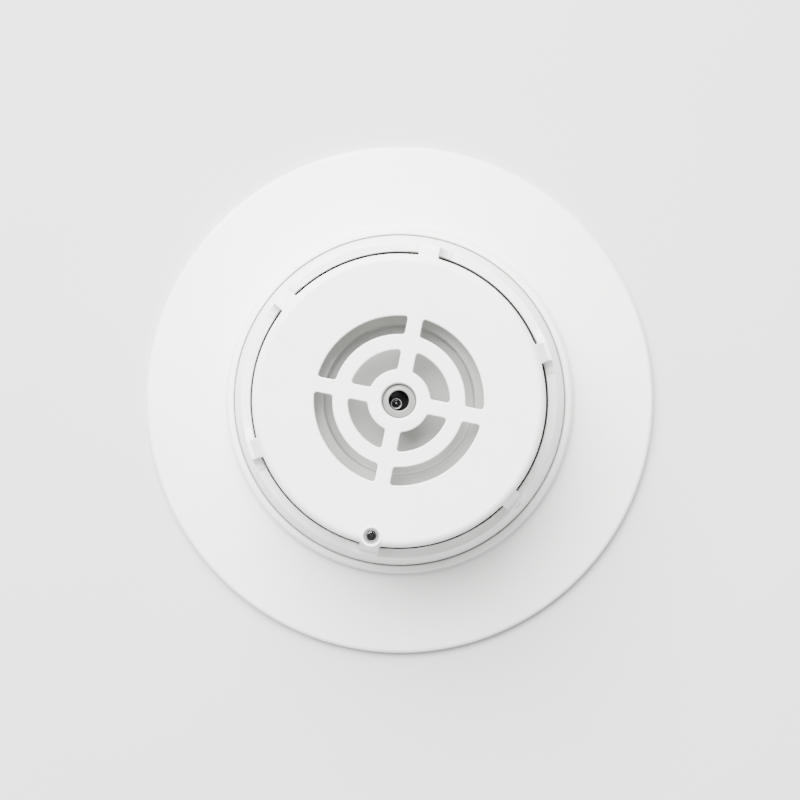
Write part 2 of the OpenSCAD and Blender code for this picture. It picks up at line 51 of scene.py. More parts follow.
def linear(hex_colour):
    """Linear RGBA of an sRGB hex colour."""
    parts = [int(hex_colour[i:i + 2], 16) / 255 for i in (1, 3, 5)]
    return [c / 12.92 if c <= 0.04045 else ((c + 0.055) / 1.055) ** 2.4 for c in parts] + [1.0]


def add(tree, kind, settings=None, inputs=None):
    """Adds a node with its settings; an input is a value, or the socket that feeds it."""
    node = tree.nodes.new(kind)
    for name, value in (settings or {}).items():
        setattr(node, name, value)
    for name, value in (inputs or {}).items():
        if isinstance(value, bpy.types.NodeSocket):
            tree.links.new(value, node.inputs[name])
        else:
            node.inputs[name].default_value = value
    return node


def new_material(name):
    """An empty node material with its output, and the object coordinates its patterns read."""
    material = bpy.data.materials.new(name)
    material.use_nodes = True
    tree = material.node_tree
    tree.nodes.clear()
    place = add(tree, "ShaderNodeTexCoord").outputs["Object"]
    return material, tree, place


def surface(tree, shader):
    """Wires a shader to the material's output."""
    add(tree, "ShaderNodeOutputMaterial", inputs={"Surface": shader.outputs[0]})


def two_tone(tree, factor, dark, light):
    """A colour between two hex colours, as the factor goes from 0.3 to 0.7."""
    ramp = add(tree, "ShaderNodeValToRGB", inputs={"Fac": factor})
    ramp.color_ramp.elements[0].position = 0.3
    ramp.color_ramp.elements[0].color = linear(dark)
    ramp.color_ramp.elements[1].position = 0.7
    ramp.color_ramp.elements[1].color = linear(light)
    return ramp.outputs["Color"]


def moulded(name, dark, light, gloss_low, gloss_high, grain_mm, grain_depth):
    """Moulded plastic: slow tone changes, uneven gloss and the fine grain of the tool."""
    material, tree, place = new_material(name)
    flow = add(tree, "ShaderNodeTexNoise", inputs={"Vector": place, "Scale": 1 / (28 * MM), "Detail": 3})
    sheen = add(tree, "ShaderNodeTexNoise", inputs={"Vector": place, "Scale": 1 / (7 * MM), "Detail": 4})
    grain = add(tree, "ShaderNodeTexNoise",
                inputs={"Vector": place, "Scale": 1 / (grain_mm * MM), "Detail": 2, "Roughness": 0.6})
    gloss = add(tree, "ShaderNodeMapRange",
                inputs={"Value": sheen.outputs["Fac"], "From Min": 0.35, "From Max": 0.65,
                        "To Min": gloss_low, "To Max": gloss_high})
    bump = add(tree, "ShaderNodeBump",
               inputs={"Height": grain.outputs["Fac"], "Strength": 0.25, "Distance": grain_depth * MM})
    shader = add(tree, "ShaderNodeBsdfPrincipled",
                 inputs={"Base Color": two_tone(tree, flow.outputs["Fac"], dark, light),
                         "Roughness": gloss.outputs["Result"], "Normal": bump.outputs["Normal"],
                         "IOR": 1.53})
    surface(tree, shader)
    return material


white_abs = moulded("satin_white_abs", "#EFEFED", "#F4F4F2", 0.36, 0.44, 0.5, 0.03)


# ---- Mounting base ----
# One white moulding: a floor that is screwed to the box, the collar round the head, and the wide
# flange that hides the box. Ribs stiffen the flange from behind; hooks and stops hold the head.

def link(name, mesh):
    """Puts a mesh, light or camera into the scene as an object."""
    obj = bpy.data.objects.new(name, mesh)
    bpy.context.scene.collection.objects.link(obj)
    return obj


def loft(name, loops, closed=False):
    """A solid through loops of equally many points; capped at both ends, or closed on itself."""
    count = len(loops[0])
    points = [p for loop in loops for p in loop]
    faces = []
    last = len(loops) if closed else len(loops) - 1
    for j in range(last):
        here, there = j * count, (j + 1) % len(loops) * count
        for i in range(count):
            k = (i + 1) % count
            faces.append((here + i, here + k, there + k, there + i))
    if not closed:
        faces.append(tuple(range(count - 1, -1, -1)))
        faces.append(tuple(range(len(points) - count, len(points))))
    mesh = bpy.data.meshes.new(name)
    mesh.from_pydata([Vector(p) * MM for p in points], [], faces)
    return link(name, mesh)


def arc(cx, cz, radius, start, end, steps):
    """Points of an arc in degrees, ends included."""
    angles = [math.radians(start + (end - start) * i / steps) for i in range(steps + 1)]
    return [(cx + radius * math.cos(a), cz + radius * math.sin(a)) for a in angles]


def polar(radius, angle, z):
    """A point at that radius, angle (radians) and height."""
    return (radius * math.cos(angle), radius * math.sin(angle), z)


def turned(name, profile, steps=256):
    """A solid of revolution from an anticlockwise outline of (radius, height) points off the axis."""
    loops = [[polar(r, TURN * j / steps, z) for r, z in reversed(profile)] for j in range(steps)]
    return loft(name, loops, closed=True)


def plain(obj):
    """Turns the object with its modifiers into a plain mesh."""
    graph = bpy.context.evaluated_depsgraph_get()
    mesh = bpy.data.meshes.new_from_object(obj.evaluated_get(graph), depsgraph=graph)
    old = obj.data
    obj.modifiers.clear()
    obj.data = mesh
    mesh.name = obj.name
    bpy.data.meshes.remove(old)
    return obj


def combine(target, others, operation):
    """Adds the other solids to the target, or cuts them out of it, and removes them."""
    for other in others:
        change = target.modifiers.new("solid", "BOOLEAN")
        change.operation = operation
        change.solver = "MANIFOLD"
        change.object = other
    plain(target)
    for other in others:
        bpy.data.objects.remove(other)
    return target


def finish_surface(obj, material, crease=32):
    """Smooth shading that stays flat on flat faces and sharp on edges over the crease angle."""
    obj.data.materials.clear()
    obj.data.materials.append(material)
    obj.data.shade_smooth()
    obj.data.set_sharp_from_angle(angle=math.radians(crease))
    weigh = obj.modifiers.new("flat_faces", "WEIGHTED_NORMAL")
    weigh.keep_sharp = True
    weigh.weight = 100
    return plain(obj)


def block(name, inner, outer, low, high, start, end, edge=0.2, steps=6):
    """Part of a flat ring between two radii, heights and angles (degrees), with rounded top edges."""
    loops = []
    rises = [(low, 0)] + [(high - edge + edge * math.sin(a), edge * (1 - math.cos(a)))
                          for a in (0, math.pi / 6, math.pi / 3, math.pi / 2)]
    for z, inset in rises:
        turn = math.degrees(inset / ((inner + outer) / 2))
        a0, a1 = math.radians(start + turn), math.radians(end - turn)
        angles = [a0 + (a1 - a0) * i / steps for i in range(steps + 1)]
        loops.append([polar(outer - inset, a, z) for a in angles]
                     + [polar(inner + inset, a, z) for a in reversed(angles)])
    return loft(name, loops)


def rod(name, radius, low, high, x=0.0, y=0.0, edge=0.0, steps=48):
    """An upright round rod with a rounded top edge."""
    rises = [(low, 0)] + [(high - edge + edge * math.sin(a), edge * (1 - math.cos(a)))
                          for a in (0, math.pi / 6, math.pi / 3, math.pi / 2)]
    if edge == 0:
        rises = [(low, 0), (high, 0)]
    return loft(name, [[(x + (radius - inset) * math.cos(TURN * i / steps),
                         y + (radius - inset) * math.sin(TURN * i / steps), z) for i in range(steps)]
                       for z, inset in rises])


def round_copies():
    """The tree that sets copies of a piece round the axis and joins them to one mesh."""
    tree = bpy.data.node_groups.new("copies_round_the_axis", "GeometryNodeTree")
    face = tree.interface
    face.new_socket("Geometry", in_out="INPUT", socket_type="NodeSocketGeometry")
    face.new_socket("Count", in_out="INPUT", socket_type="NodeSocketInt")
    face.new_socket("Start", in_out="INPUT", socket_type="NodeSocketFloat")
    face.new_socket("Material", in_out="INPUT", socket_type="NodeSocketMaterial")
    face.new_socket("Geometry", in_out="OUTPUT", socket_type="NodeSocketGeometry")
    given = tree.nodes.new("NodeGroupInput").outputs
    points = add(tree, "GeometryNodePoints", inputs={"Count": given["Count"]})
    index = add(tree, "GeometryNodeInputIndex").outputs["Index"]
    step = add(tree, "ShaderNodeMath", {"operation": "DIVIDE"})
    step.inputs[0].default_value = TURN
    tree.links.new(given["Count"], step.inputs[1])
    angle = add(tree, "ShaderNodeMath", {"operation": "MULTIPLY_ADD"})
    tree.links.new(index, angle.inputs[0])
    tree.links.new(step.outputs[0], angle.inputs[1])
    tree.links.new(given["Start"], angle.inputs[2])
    turn = add(tree, "ShaderNodeCombineXYZ", inputs={"Z": angle.outputs[0]})
    copies = add(tree, "GeometryNodeInstanceOnPoints",
                 inputs={"Points": points.outputs[0], "Instance": given["Geometry"],
                         "Rotation": turn.outputs[0]})
    real = add(tree, "GeometryNodeRealizeInstances", inputs={"Geometry": copies.outputs[0]})
    painted = add(tree, "GeometryNodeSetMaterial",
                  inputs={"Geometry": real.outputs[0], "Material": given["Material"]})
    out = tree.nodes.new("NodeGroupOutput")
    tree.links.new(painted.outputs[0], out.inputs["Geometry"])
    return tree


copies_tree = round_copies()


def ring_of(obj, count, start, material):
    """Repeats a piece round the axis, from the start angle in degrees, as one plain mesh."""
    change = obj.modifiers.new("copies", "NODES")
    change.node_group = copies_tree
    sockets = {s.name: s.identifier for s in copies_tree.interface.items_tree if s.in_out == "INPUT"}
    change[sockets["Count"]] = count
    change[sockets["Start"]] = math.radians(start)
    change[sockets["Material"]] = material
    return plain(obj)


base_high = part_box("base_body")[1]
head_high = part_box("rear_chassis")[1]
flange_r = base_high.x / MM
collar_h = base_high.z / MM
head_r = head_high.x / MM
wall = 2.2
rim_h = 3.4
rim_round = 1.5
collar_r = head_r + 0.35
collar_out = collar_r + wall
# The collar opens a little at its mouth, to lead the head in.
mouth_r = head_r + 0.5
collar_round = 1.3
root_h = rim_h + 3
root_fillet = 1.6
floor_t = 2.4
entry_r = 18

base_body = turned("mounting_base", (
    [(entry_r, 0), (collar_out, 0), (collar_out, root_h - wall), (flange_r - wall, rim_h - wall + 0.6),
     (flange_r - wall, 0), (flange_r - 0.3, 0), (flange_r, 0.3)]
    + arc(flange_r - rim_round, rim_h - rim_round, rim_round, 0, 85, 12)
    + arc(collar_out + root_fillet, root_h + root_fillet, root_fillet, 265, 180, 10)
    + arc(collar_out - collar_round, collar_h - collar_round, collar_round, 5, 90, 12)
    + arc(mouth_r + 0.2, collar_h - 0.2, 0.2, 90, 180, 4)
    + [(mouth_r, collar_h - 0.9), (collar_r, collar_h - 1.1), (collar_r, floor_t), (entry_r, floor_t)]))

rib_half = 0.6
rib_outline = [(collar_out - 1, 0.6), (flange_r - wall + 1, 0.6),
               (flange_r - wall + 1, rim_h - wall + 0.8), (collar_out - 1, root_h - wall + 0.4)]
rib = loft("rib", [[(x, y, z) for x, z in rib_outline] for y in (-rib_half, rib_half)])
ribs = ring_of(rib, 12, 15, white_abs)

seat_in = head_r - 1.6
seat_z = 5.0
hook_out = head_r - 3.6
upstand_out = hook_out - 2.1
upstand_in = upstand_out - 1.6
hook_z = 7.2
hook_top = hook_z + 1.4
hook_half = 10.3
near_stop = -9.9
far_stop = 27.9
stop_width = 2
lock_count = 3
first_place = 45
# What stands on the floor starts a little below its face.
buried = floor_t - 1
hook_parts = [
    block("hook", upstand_in, upstand_out, buried, hook_top, -hook_half, hook_half),
    block("lip", upstand_out - 0.4, hook_out, hook_z, hook_top, -hook_half, hook_half),
    block("stop", upstand_out - 0.5, hook_out - 0.4, buried, hook_z + 0.5, near_stop,
          near_stop + stop_width, edge=0.1),
    block("far_stop", upstand_in + 0.2, hook_out - 0.4, buried, hook_z, far_stop, far_stop + stop_width)]
hooks = [ring_of(part, lock_count, first_place, white_abs) for part in hook_parts]

contact_r = upstand_in - 7.8
boss_z = floor_t + 2
contact_count = 4
boss = block("boss", contact_r - 6, contact_r + 5, buried, boss_z, -18, 8, edge=0.3)
bosses = ring_of(boss, contact_count, first_place, white_abs)
seat = turned("seat", [(seat_in, buried), (collar_r + 1, buried), (collar_r + 1, seat_z), (seat_in, seat_z)])
combine(base_body, [ribs, seat, bosses] + hooks, "UNION")

slot_r = 2.2


def slot_cutter(name, near, far, angle):
    """A round-ended slot through the floor, along the radius at that angle in degrees."""
    outline = arc(far, 0, slot_r, -90, 90, 16) + arc(near, 0, slot_r, 90, 270, 16)
    c, s = math.cos(math.radians(angle)), math.sin(math.radians(angle))
    return loft(name, [[(x * c - y * s, x * s + y * c, z) for x, y in outline] for z in (-1, floor_t + 1)])


slots = [slot_cutter("wide_slot", 41.65, 44.45, a) for a in (0, 180)]
slots += [slot_cutter("narrow_slot", 30, 35, a) for a in (90, 270)]


def upright(cx, cy, z, sizes):
    """Corners of a level rectangle round a centre, anticlockwise."""
    dx, dy = sizes[0] / 2, sizes[1] / 2
    return [(cx - dx, cy - dy, z), (cx + dx, cy - dy, z), (cx + dx, cy + dy, z), (cx - dx, cy + dy, z)]


nut_side = 6.2
pocket_top = 3
screw_place = first_place - 10.5
pocket = loft("pocket", [upright(contact_r, 0, z, (nut_side, nut_side)) for z in (-1, pocket_top)])
pockets = ring_of(pocket, contact_count, screw_place, white_abs)
screw_hole = rod("screw_hole", 1.7, -1, boss_z + 1, contact_r)
screw_holes = ring_of(screw_hole, contact_count, screw_place, white_abs)
combine(base_body, slots + [pockets, screw_holes], "DIFFERENCE")
finish_surface(base_body, white_abs)
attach(base_body, "base")
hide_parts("base_body")


# ---- Terminals ----
# Four square steel nuts sit in pockets behind the floor. Each holds a bronze contact spring, a
# zinc-plated clamp plate and a nickel-plated terminal screw that grips the field wire.

def painted(name, material):
    """Gives a CAD node that stays in view its material."""
    for place in nodes[name].material_slots:
        place.material = material
    if not nodes[name].material_slots:
        nodes[name].data.materials.append(material)
    nodes[name].data.update()


def metal(name, dark, light, gloss_low, gloss_high, streak_mm, stretch):
    """Bare or plated metal: rolling or turning marks drawn out along one way, and uneven gloss."""
    material, tree, place = new_material(name)
    drawn = add(tree, "ShaderNodeMapping", inputs={"Vector": place, "Scale": (1, stretch, stretch)})
    marks = add(tree, "ShaderNodeTexNoise",
                inputs={"Vector": drawn.outputs["Vector"], "Scale": 1 / (streak_mm * MM), "Detail": 4})
    gloss = add(tree, "ShaderNodeMapRange",
                inputs={"Value": marks.outputs["Fac"], "From Min": 0.3, "From Max": 0.7,
                        "To Min": gloss_low, "To Max": gloss_high})
    bump = add(tree, "ShaderNodeBump",
               inputs={"Height": marks.outputs["Fac"], "Strength": 0.3, "Distance": 0.02 * MM})
    shader = add(tree, "ShaderNodeBsdfPrincipled",
                 inputs={"Base Color": two_tone(tree, marks.outputs["Fac"], dark, light), "Metallic": 1.0,
                         "Roughness": gloss.outputs["Result"], "Normal": bump.outputs["Normal"]})
    surface(tree, shader)
    return material


# Zinc plate is a cool grey with a soft, slightly cloudy shine.
zinc_plate = metal("zinc_plated_steel", "#A9ACB0", "#C6C8CB", 0.3, 0.42, 1.5, 1.0)
# Nickel plate is warmer and brighter, with fine turning marks.
nickel_plate = metal("nickel_plated_steel", "#C2BDB2", "#D8D4CA", 0.18, 0.28, 0.8, 1.0)
# Rolled phosphor bronze strip keeps long marks from the rolls.
spring_bronze = metal("rolled_phosphor_bronze", "#A9743F", "#C18B52", 0.24, 0.36, 0.6, 0.15)
painted("captive_nuts", zinc_plate)
painted("contact_springs", spring_bronze)
painted("clamp_plates", zinc_plate)
painted("terminal_screws", nickel_plate)


# ---- Rear chassis of the head ----
# White ABS moulding that closes the back of the head. Its rim carries the three lock lugs, and its
# posts hold the circuit board. It is a little duller than the faces that the room sees.

chassis_abs = moulded("plain_white_abs", "#E6E6E2", "#ECECE9", 0.46, 0.56, 0.7, 0.04)
painted("rear_chassis", chassis_abs)


# ---- Contact blades, rivets and cover screws ----
# Brass blades, tinned against corrosion, are riveted under the chassis and wipe into the springs.
# Three thread-forming screws hold the chassis to the front cover.

# Hot-dipped tin is bright and slightly rippled.
tinned_brass = metal("tinned_brass", "#BDBBB2", "#D2D0C8", 0.2, 0.34, 0.9, 0.3)
painted("contact_blades", tinned_brass)
painted("blade_rivets", tinned_brass)
painted("cover_screws", zinc_plate)


# ---- Circuit board ----
# Round glass-fibre laminate under green solder mask. The mask lies over etched copper, which shows
# as slightly lighter lines, and the cut edge shows the straw-coloured laminate.

board_green, tree, place = new_material("green_solder_mask")
lanes = add(tree, "ShaderNodeTexBrick", {"offset": 0.5, "squash": 1.0},
            inputs={"Vector": place, "Scale": 1 / (14 * MM), "Mortar Size": 0.03, "Mortar Smooth": 0.1,
                    "Color1": linear("#1C6136"), "Color2": linear("#1A5B33"),
                    "Mortar": linear("#2F8350"), "Row Height": 0.22, "Brick Width": 0.8})
weave = add(tree, "ShaderNodeTexNoise", inputs={"Vector": place, "Scale": 1 / (1.2 * MM), "Detail": 2})
facing = add(tree, "ShaderNodeSeparateXYZ",
             inputs={"Vector": add(tree, "ShaderNodeTexCoord").outputs["Normal"]}).outputs["Z"]
flat = add(tree, "ShaderNodeMath", {"operation": "ABSOLUTE"})
tree.links.new(facing, flat.inputs[0])
edge = add(tree, "ShaderNodeMath", {"operation": "LESS_THAN"})
tree.links.new(flat.outputs[0], edge.inputs[0])
edge.inputs[1].default_value = 0.5
cut = add(tree, "ShaderNodeMix", {"data_type": "RGBA"})
tree.links.new(edge.outputs[0], cut.inputs[0])
tree.links.new(lanes.outputs["Color"], cut.inputs[6])
cut.inputs[7].default_value = linear("#B4A868")
relief = add(tree, "ShaderNodeBump",
             inputs={"Height": weave.outputs["Fac"], "Strength": 0.2, "Distance": 0.02 * MM})
surface(tree, add(tree, "ShaderNodeBsdfPrincipled",
                  inputs={"Base Color": cut.outputs[2], "Roughness": 0.28,
                          "Normal": relief.outputs["Normal"]}))
painted("circuit_board", board_green)


# ---- Parts on the board ----
# Chips, diodes and transistors are pressed in black epoxy; the capacitors wear a printed sleeve
# under an aluminium top; the varistor is dipped; the reed switch is a glass tube.

black_epoxy = moulded("pressed_black_epoxy", "#141415", "#1E1E20", 0.5, 0.62, 0.25, 0.04)
resistor_glaze = moulded("black_glass_glaze", "#101012", "#1B1B1E", 0.16, 0.26, 0.6, 0.01)
ceramic = moulded("sintered_tan_ceramic", "#A9895C", "#BD9D6E", 0.4, 0.52, 0.3, 0.02)
dipped_blue = moulded("dipped_blue_epoxy", "#2A55A0", "#3363B2", 0.18, 0.26, 1.4, 0.06)
dipped_brown = moulded("dipped_brown_epoxy", "#33241C", "#40302A", 0.18, 0.28, 0.9, 0.05)
tinned_wire = metal("tinned_copper_wire", "#B9B8B3", "#D0CFCA", 0.22, 0.32, 0.5, 0.3)

capacitor_skin, tree, place = new_material("printed_sleeve_and_aluminium")
height = add(tree, "ShaderNodeSeparateXYZ", inputs={"Vector": place}).outputs["Z"]
bare = add(tree, "ShaderNodeMath", {"operation": "GREATER_THAN"})
tree.links.new(height, bare.inputs[0])
bare.inputs[1].default_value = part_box("electrolytic_capacitors")[1].z - 0.3 * MM
speckle = add(tree, "ShaderNodeTexNoise", inputs={"Vector": place, "Scale": 1 / (0.9 * MM), "Detail": 3})
skin = add(tree, "ShaderNodeMix", {"data_type": "RGBA"})
tree.links.new(bare.outputs[0], skin.inputs[0])
tree.links.new(two_tone(tree, speckle.outputs["Fac"], "#20283A", "#283248"), skin.inputs[6])
skin.inputs[7].default_value = linear("#C4C6C8")
surface(tree, add(tree, "ShaderNodeBsdfPrincipled",
                  inputs={"Base Color": skin.outputs[2], "Metallic": bare.outputs[0], "Roughness": 0.3}))

tube_glass, tree, place = new_material("green_tinted_glass")
ripple = add(tree, "ShaderNodeTexNoise", inputs={"Vector": place, "Scale": 1 / (2 * MM), "Detail": 1})
wave = add(tree, "ShaderNodeBump",
           inputs={"Height": ripple.outputs["Fac"], "Strength": 0.2, "Distance": 0.02 * MM})
surface(tree, add(tree, "ShaderNodeBsdfPrincipled",
                  inputs={"Base Color": two_tone(tree, ripple.outputs["Fac"], "#CFE2D3", "#DDEBDF"),
                          "Roughness": 0.05, "IOR": 1.5, "Transmission Weight": 0.85,
                          "Normal": wave.outputs["Normal"]}))

painted("control_chips", black_epoxy)
painted("chip_legs", tinned_wire)
painted("electrolytic_capacitors", capacitor_skin)
painted("chip_resistors", resistor_glaze)
painted("chip_capacitors", ceramic)
painted("bridge_diodes", black_epoxy)
painted("transistors", black_epoxy)
painted("surge_varistor", dipped_blue)
painted("reed_switch", tube_glass)
painted("reference_thermistor", dipped_brown)


# ---- Inner carrier ----
# Black polycarbonate moulding that covers the board and carries the sensor chimney. Its roof shows
# as the thin dark line round the cap, where the cover's deck ends. The black is partly the part's own colour
# and partly painted shade, for the deep gap under the cap's edge and the hub's bore.

# Black: the carrier's own colour, and also painted shade in the gap under the cap and in the hub's bore.
black_pc_and_shade = moulded("matt_black_polycarbonate_and_painted_shade", "#0B0B0C", "#121214", 0.6, 0.72, 0.6, 0.05)
painted("inner_carrier", black_pc_and_shade)


# ---- Air baffle ----
# ABS ring behind the grille. Its grey colour is painted shade, for the shade it lies in under the cap. It
# steps up from a well round the sensor and slopes down to the deck, so that air from any side is led to the
# bead. Three stakes hold it to the carrier.

def rounded(points, radii, steps=4):
    """An outline with each corner rounded by its own radius."""
    outline = []
    count = len(points)
    for i, (x, z) in enumerate(points):
        if radii[i] == 0:
            outline.append((x, z))
            continue
        here = Vector((x, z))
        before = (Vector(points[i - 1]) - here).normalized()
        after = (Vector(points[(i + 1) % count]) - here).normalized()
        half = math.acos(max(-1, min(1, before.dot(after)))) / 2
        centre = here + (before + after).normalized() * (radii[i] / math.sin(half))
        first = here + before * (radii[i] / math.tan(half)) - centre
        last = here + after * (radii[i] / math.tan(half)) - centre
        whole = first.angle_signed(last)
        for k in range(steps + 1):
            turn = -whole * k / steps
            c, s = math.cos(turn), math.sin(turn)
            outline.append((centre.x + first.x * c - first.y * s, centre.y + first.x * s + first.y * c))
    return outline


baffle_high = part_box("air_baffle")[1]
foot_out = baffle_high.x / MM
ledge_z = baffle_high.z / MM
well_floor = ledge_z - 4
foot_z = ledge_z - 8.8
well_r = 21.4
shelf_r = 26.2
baffle_t = 1.4
column_r = 3.9
foot_w = 4.9
air_baffle = turned("air_baffle", rounded(
    [(column_r, well_floor - baffle_t), (well_r + baffle_t, well_floor - baffle_t),
     (well_r + baffle_t, ledge_z - baffle_t), (shelf_r - 0.6, ledge_z - baffle_t),
     (foot_out - foot_w, foot_z + 1), (foot_out - foot_w, foot_z), (foot_out, foot_z),
     (foot_out, foot_z + 1.4), (shelf_r, ledge_z), (well_r, ledge_z), (well_r, well_floor),
     (column_r, well_floor)],
    [0, 0.8, 0.6, 1.5, 0.3, 0, 0, 0.4, 2.2, 0.5, 0.9, 0]))
stake_r = 1.1
stake_ring = 36.9
stake_count = 3
shank = rod("shank", stake_r, foot_z - 1.9, foot_z + 0.6, stake_ring)
button = rod("button", stake_r + 0.7, foot_z - 2.1, foot_z - 1.5, stake_ring)
stakes = [ring_of(part, stake_count, 90, white_abs) for part in (shank, button)]
combine(air_baffle, stakes, "UNION")
# The lamp's leads pass through a notch in the foot.
notch_y = -39.6
notch = loft("notch", [upright(0, notch_y, z, (4.4, 5.6)) for z in (foot_z - 4, foot_z + 4)])
combine(air_baffle, [notch], "DIFFERENCE")
# The grey here is painted shade, for the baffle's place in the shade under the cap.
baffle_painted_shade_abs = moulded("painted_shade_grey_abs", "#9B9B98", "#A3A3A0", 0.44, 0.54, 0.6, 0.03)
finish_surface(air_baffle, baffle_painted_shade_abs)
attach(air_baffle, "head")
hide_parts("air_baffle")


# ---- Sensor sleeve ----
# Polycarbonate sleeve pushed over the black chimney. Its mid grey colour is painted shade, for the shade it
# lies in below the hub. Its nose is domed round the opening where the bead looks out, and four ports low on
# its side let the warm air pass.

sleeve_low, sleeve_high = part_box("sensor_sleeve")
sleeve_out = sleeve_high.x / MM
sleeve_top = sleeve_high.z / MM
sleeve_foot = sleeve_low.z / MM
nose_hole = 2.85
# The mid grey is painted shade, for the sleeve's place in the shade below the hub.
sleeve_painted_shade = moulded("painted_shade_grey_polycarbonate", "#7B7B79", "#848482", 0.34, 0.42, 0.5, 0.02)
sensor_sleeve = turned("sensor_sleeve", rounded(
    [(column_r, sleeve_foot), (sleeve_out, sleeve_foot), (sleeve_out, sleeve_top - 0.55),
     (nose_hole, sleeve_top), (nose_hole, sleeve_top - 1.7), (column_r, sleeve_top - 1.7)],
    [0, 0.2, 1.0, 0.35, 0, 0], steps=8), steps=128)
port_foot = well_floor + 2.8
port_h = 4
port = loft("port", [upright(sleeve_out, 0, z, (4, 1.8)) for z in (port_foot, port_foot + port_h)])
combine(sensor_sleeve, [ring_of(port, 4, 45, sleeve_painted_shade)], "DIFFERENCE")
finish_surface(sensor_sleeve, sleeve_painted_shade)
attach(sensor_sleeve, "head")
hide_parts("sensor_sleeve")


# ---- Thermistor bead and leads ----
# Black epoxy bead on two tinned leads, set in the mouth of the chimney. A thin light grey ring round its
# edge is a painted highlight, for the ring of light round the bead; the crown of the bead shows as a light
# ring by its own shape.

bead_low, bead_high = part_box("thermistor_bead")
bead_at = (bead_low + bead_high) / 2 / MM
bead_r = (bead_high.z - bead_low.z) / 2 / MM


def lathe_at(name, x, y, rings, steps=64):
    """A closed solid of revolution round an upright line through (x, y), from the bottom up."""
    return loft(name, [[(x + max(r, 0.01) * math.cos(TURN * i / steps),
                         y + max(r, 0.01) * math.sin(TURN * i / steps), z) for i in range(steps)]
                       for r, z in rings])


bead_black = moulded("glossy_black_epoxy", "#08080A", "#101013", 0.08, 0.14, 1.2, 0.03)
rim_painted_highlight = moulded("painted_highlight_rim", "#8E9091", "#A6A8A9", 0.25, 0.35, 0.3, 0.02)
rim_z = 0.62
crown = [(bead_r * math.sin(a), -bead_r * math.cos(a)) for a in [math.pi * i / 28 for i in range(18)]]
crown += [(bead_r - 0.12, rim_z), (bead_r - 0.3, 0.5), (0.95, 0.55), (0.8, 0.85), (0.5, 1.15), (0.2, 1.28),
          (0, 1.3)]
thermistor_bead = lathe_at("thermistor_bead", bead_at.x, bead_at.y,
                           [(r, bead_at.z + z) for r, z in crown], 48)
finish_surface(thermistor_bead, bead_black, crease=50)
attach(thermistor_bead, "head")
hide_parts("thermistor_bead")


def ring_at(name, x, y, section, steps):
    """A ring round an upright line through (x, y), from an anticlockwise (radius, height) outline."""
    return loft(name, [[(x + r * math.cos(TURN * j / steps), y + r * math.sin(TURN * j / steps), z)
                        for r, z in reversed(section)] for j in range(steps)], closed=True)


def wire_section(radius, z, half):
    """Outline of a round wire that is bent to that radius."""
    return [(radius + half * math.cos(TURN * i / 10), z + half * math.sin(TURN * i / 10)) for i in range(10)]


# A thin light grey ring at the bead's rim: a painted highlight.
bead_rim = ring_at("bead_painted_highlight_rim", bead_at.x, bead_at.y,
                   wire_section(bead_r - 0.11, bead_at.z + rim_z, 0.08), 48)
finish_surface(bead_rim, rim_painted_highlight, crease=80)
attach(bead_rim, "head")
painted("thermistor_leads", tinned_wire)


# ---- Status lamp ----
# Small flat-topped lamp of clear epoxy, cast round a two-post lead frame with a tiny cup for the
# chip. A grey bezel ring holds it in the boss at the cap's edge; its leads run down to the board.

lens_low, lens_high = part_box("status_lamp")
lamp_y = (lens_low.y + lens_high.y) / 2 / MM
lens_flange_r = (lens_high.x - lens_low.x) / 2 / MM
lens_flange_h = 1
lens_r = lens_flange_r - 0.4
lens_top = lens_high.z / MM
lens_foot = lens_low.z / MM
shoulder = 0.4 * lens_r
lens = lathe_at("status_lamp", 0, lamp_y, (
    [(0, lens_foot), (lens_flange_r, lens_foot), (lens_flange_r, lens_foot + lens_flange_h),
     (lens_r, lens_foot + lens_flange_h)]
    + arc(lens_r - shoulder, lens_top - shoulder, shoulder, 0, 90, 12) + [(0, lens_top)]))
clear_epoxy, tree, place = new_material("clear_cast_epoxy")
haze = add(tree, "ShaderNodeTexNoise", inputs={"Vector": place, "Scale": 1 / (0.8 * MM), "Detail": 2})
surface(tree, add(tree, "ShaderNodeBsdfPrincipled",
                  inputs={"Base Color": two_tone(tree, haze.outputs["Fac"], "#F1F2F2", "#FAFAFA"),
                          "Roughness": 0.03, "IOR": 1.53, "Transmission Weight": 1.0}))
finish_surface(lens, clear_epoxy)
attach(lens, "head")
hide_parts("status_lamp")

# The lead frame is coloured near black: painted shade for the dark centre of the lamp.
lamp_frame_painted_shade = metal("painted_shade_lead_frame", "#1F1F21", "#303033", 0.3, 0.45, 0.3, 0.4)
post_foot = lens_foot + 0.2
posts = [loft("post", [upright(x, lamp_y, z, (0.5, 0.45)) for z in (post_foot, lens_top - below)])
         for x, below in ((-0.62, 2.0), (0.72, 2.2))]
cup = lathe_at("cup", 0, lamp_y, [(0, lens_foot + 1.2), (0.35, lens_foot + 1.2), (0.6, lens_top - 2.5),
                                  (1.1, lens_top - 1.75), (1.05, lens_top - 1.72), (0.5, lens_top - 2.3),
                                  (0, lens_top - 2.3)], steps=48)
lead_frame = combine(cup, posts, "UNION")
lead_frame.name = "lamp_lead_frame"
finish_surface(lead_frame, lamp_frame_painted_shade)
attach(lead_frame, "head")

dish_silver = metal("silvered_dish_rim", "#C4C5C7", "#D8D9DB", 0.18, 0.28, 0.2, 0.3)
dish_rim = ring_at("lamp_dish_rim", 0, lamp_y, wire_section(1.14, lens_top - 1.1, 0.13), 48)
finish_surface(dish_rim, dish_silver, crease=80)
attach(dish_rim, "head")
painted("lamp_leads", tinned_wire)

